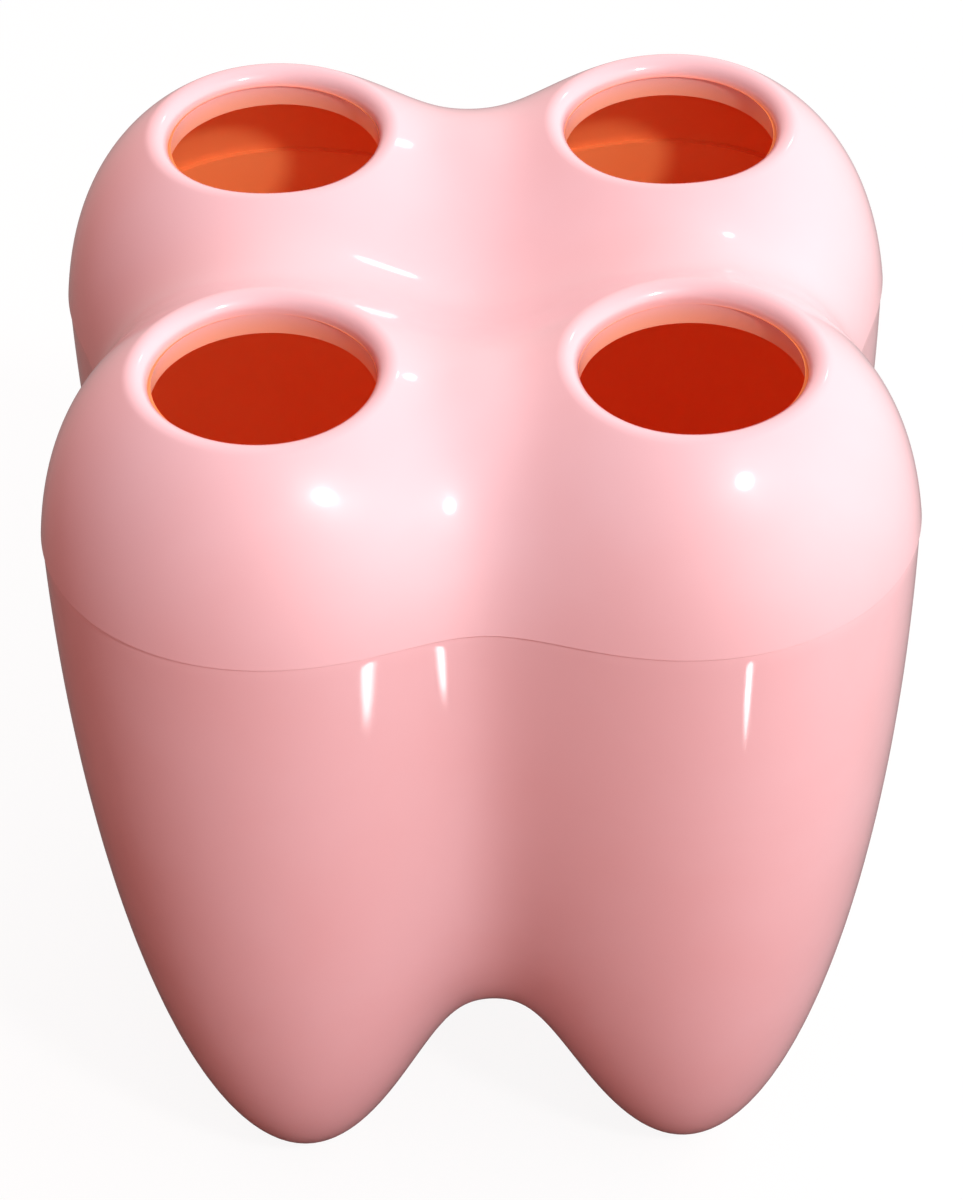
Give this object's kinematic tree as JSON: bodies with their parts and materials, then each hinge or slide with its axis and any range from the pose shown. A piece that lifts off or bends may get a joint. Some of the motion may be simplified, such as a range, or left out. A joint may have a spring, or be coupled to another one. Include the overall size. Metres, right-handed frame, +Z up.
{
  "type": "toothbrush holder",
  "caption": "Molar-shaped toothbrush holder: a glossy pink cup with hollow tapering roots, and a domed crown lid that lifts off, with a round brush hole in each cusp.",
  "frame": {"origin": "on the floor under the middle of the four roots", "axes": "+Z up, +Y from the front holes to the rear holes, +X to the right as the picture shows it"},
  "size_m": [0.0986, 0.0986, 0.1202],
  "materials": {
    "pink_plastic": "gloss"
  },
  "bodies": {
    "cup": {"root_cup": "pink_plastic"},
    "lid": {"crown_lid": "pink_plastic"}
  },
  "joints": [
    {"name": "lid_lift", "type": "slide", "parent": "cup", "child": "lid", "axis": [0, 0, 1], "range_m": [0, 0.05]}
  ]
}
